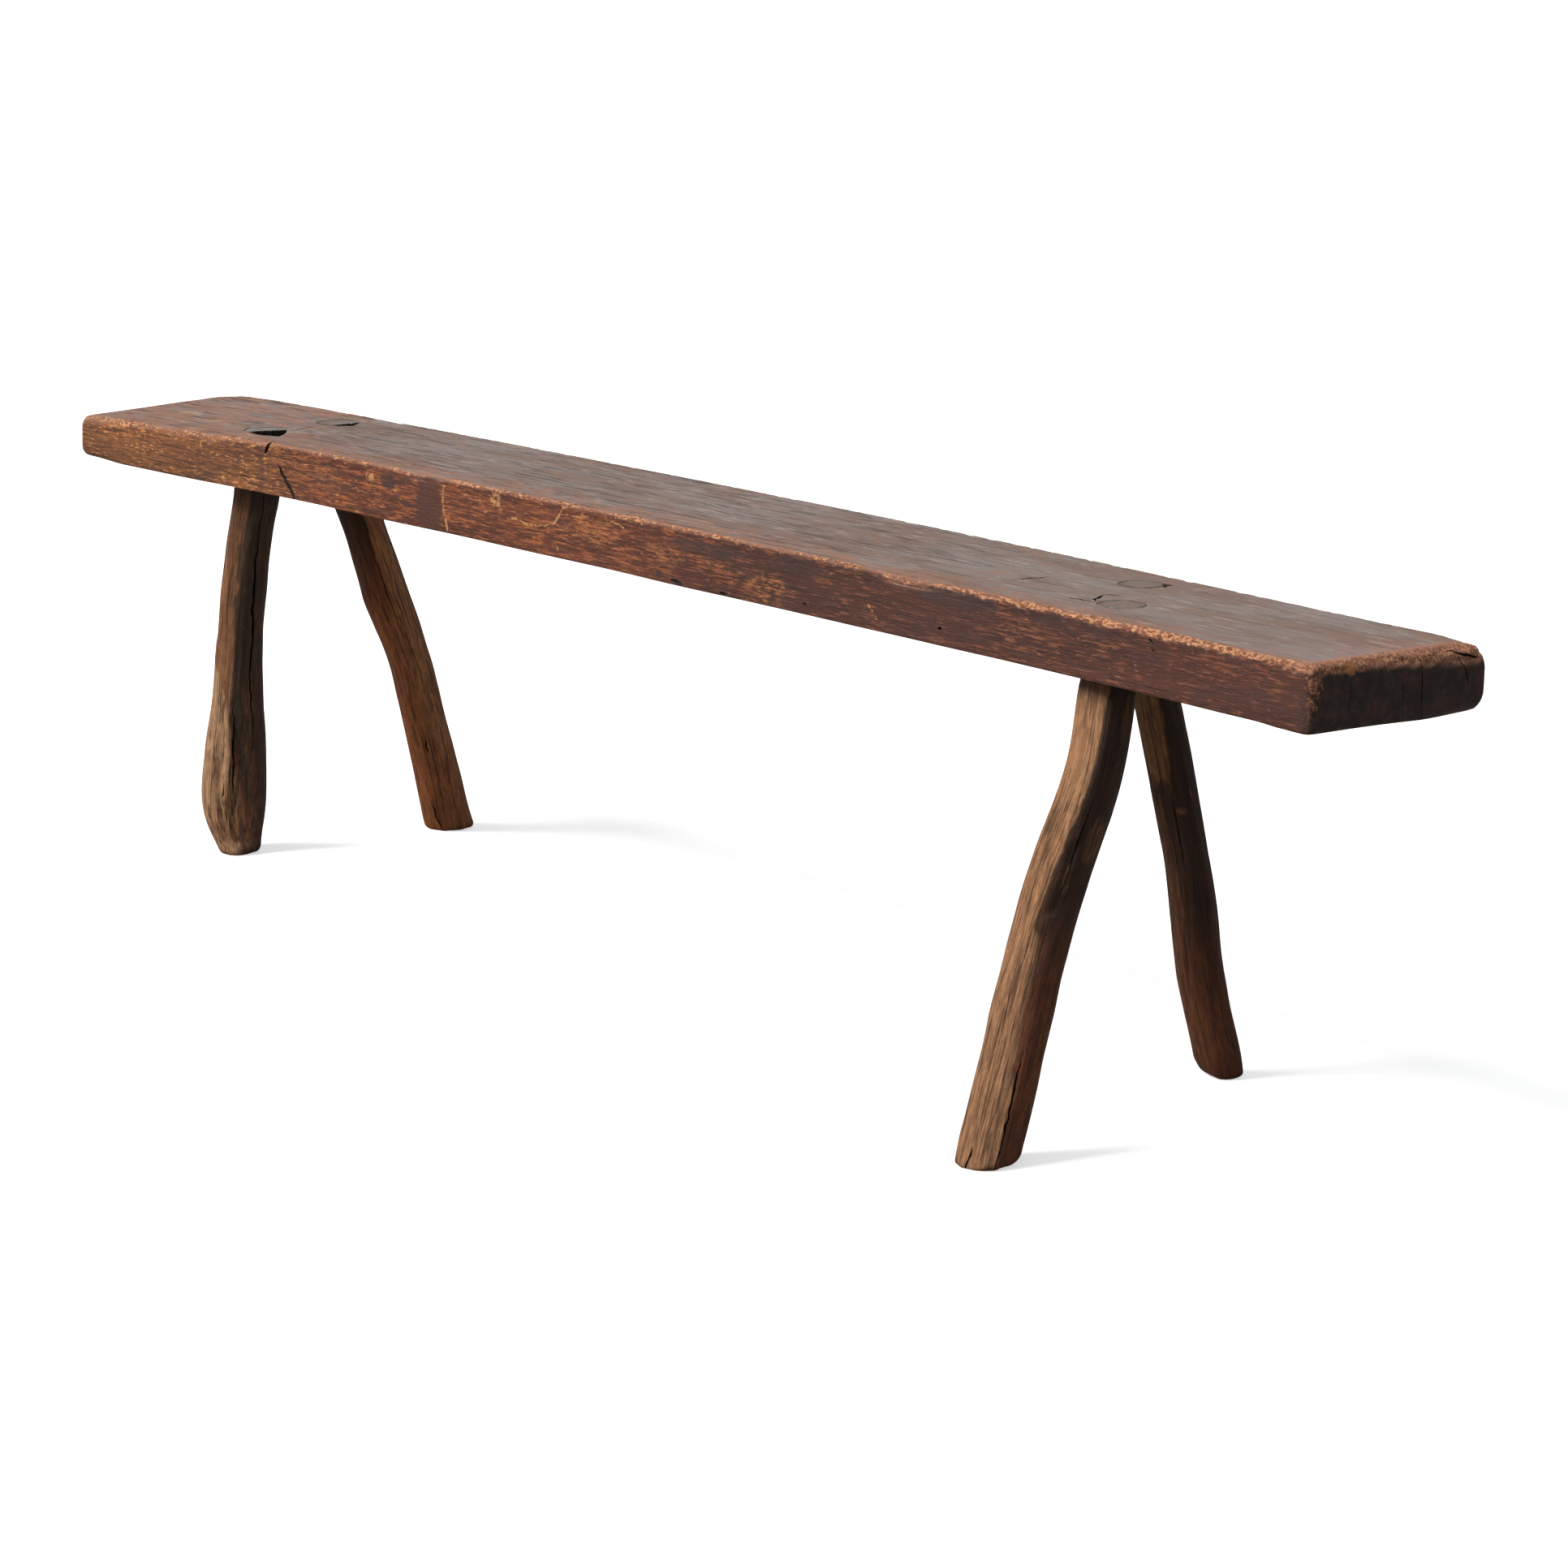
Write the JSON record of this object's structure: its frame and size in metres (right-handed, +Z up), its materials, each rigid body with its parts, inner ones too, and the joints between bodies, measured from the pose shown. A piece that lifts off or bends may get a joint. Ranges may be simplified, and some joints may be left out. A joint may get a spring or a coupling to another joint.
{
  "type": "rustic plank bench",
  "caption": "Long narrow hewn plank seat on splayed branch legs, each driven through the seat as a round tenon and wedged from above.",
  "frame": {"origin": "on the floor, in the middle of the bench's footprint", "axes": "+X along the seat, +Y to the back, +Z up"},
  "size_m": [1.8678, 0.4354, 0.4518],
  "materials": {
    "seat_wood": "old red-brown stain worn to bare wood, top greyed by use",
    "branch_wood": "peeled branch, brown, rubbed and darkened",
    "wedge_wood": "grey weathered end grain"
  },
  "bodies": {
    "root": {"seat_plank": "seat_wood", "leg_front_left": "branch_wood", "leg_back_left": "branch_wood", "leg_front_right": "branch_wood", "leg_back_right": "branch_wood", "wedge_front_left": "wedge_wood", "wedge_back_left": "wedge_wood", "wedge_front_right": "wedge_wood", "wedge_back_right": "wedge_wood"}
  },
  "joints": []
}
